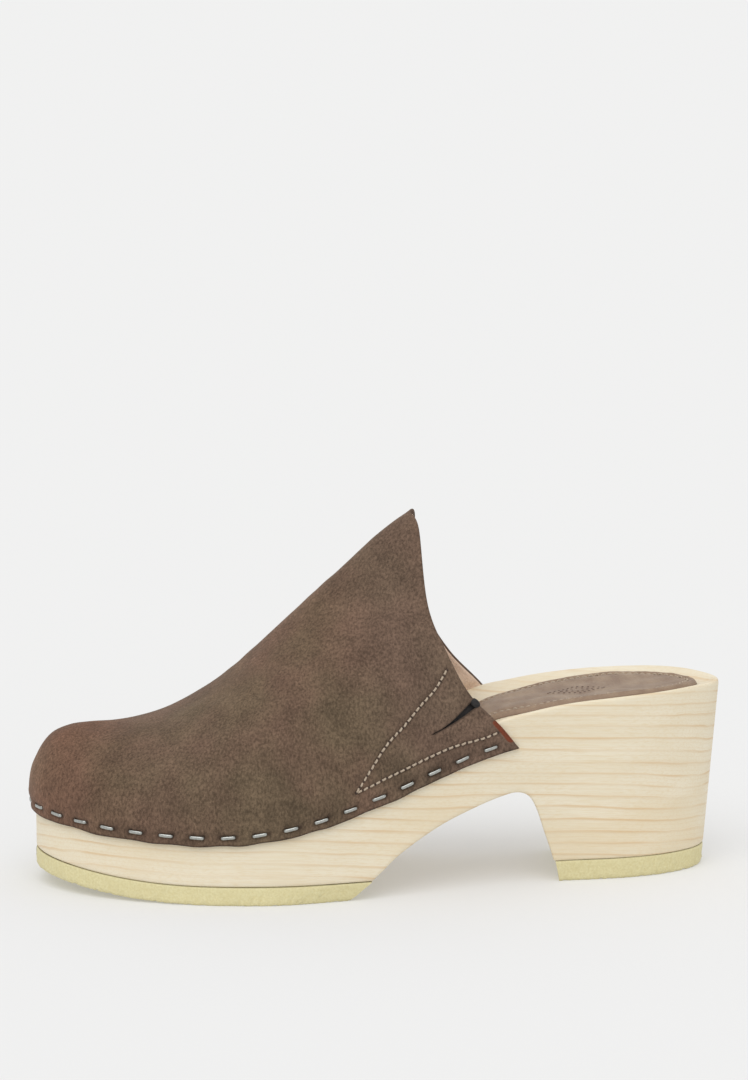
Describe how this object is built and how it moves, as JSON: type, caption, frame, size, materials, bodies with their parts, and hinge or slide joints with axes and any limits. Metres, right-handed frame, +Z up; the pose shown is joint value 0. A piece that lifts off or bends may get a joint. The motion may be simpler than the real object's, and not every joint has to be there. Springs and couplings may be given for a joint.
{
  "type": "wooden clog",
  "caption": "Left women's mule clog: carved wooden sole with a block heel, rubber treads, and a high suede upper stapled round its edge.",
  "frame": {"origin": "on the floor, below the middle of the shoe's bounding box", "axes": "+Z up, +X along the shoe from toe to heel, -Y the outer side of the left foot"},
  "size_m": [0.2626, 0.0982, 0.1388],
  "materials": {
    "wood": "pale pine, sanded and lightly oiled",
    "tread_rubber": "cream crepe rubber",
    "suede": "taupe brown suede nap",
    "lining_leather": "smooth pale lining leather",
    "stiffener": "stiffened felt",
    "elastic": "woven elastic",
    "thread": "waxed polyester thread",
    "staple_steel": "bright drawn wire",
    "foam": "soft foam",
    "sock_leather": "soft full-grain taupe leather"
  },
  "bodies": {
    "root": {"wooden_sole": "wood", "forefoot_outsole": "tread_rubber", "heel_top_lift": "tread_rubber", "suede_upper": "suede", "vamp_lining": "lining_leather", "toe_puff": "stiffener", "gore_elastic": "elastic", "gore_seam_upper": "thread", "gore_seam_lower": "thread", "staples": "staple_steel", "sock_foam": "foam", "sock_cover": "sock_leather", "sock_seam": "thread"}
  },
  "joints": []
}
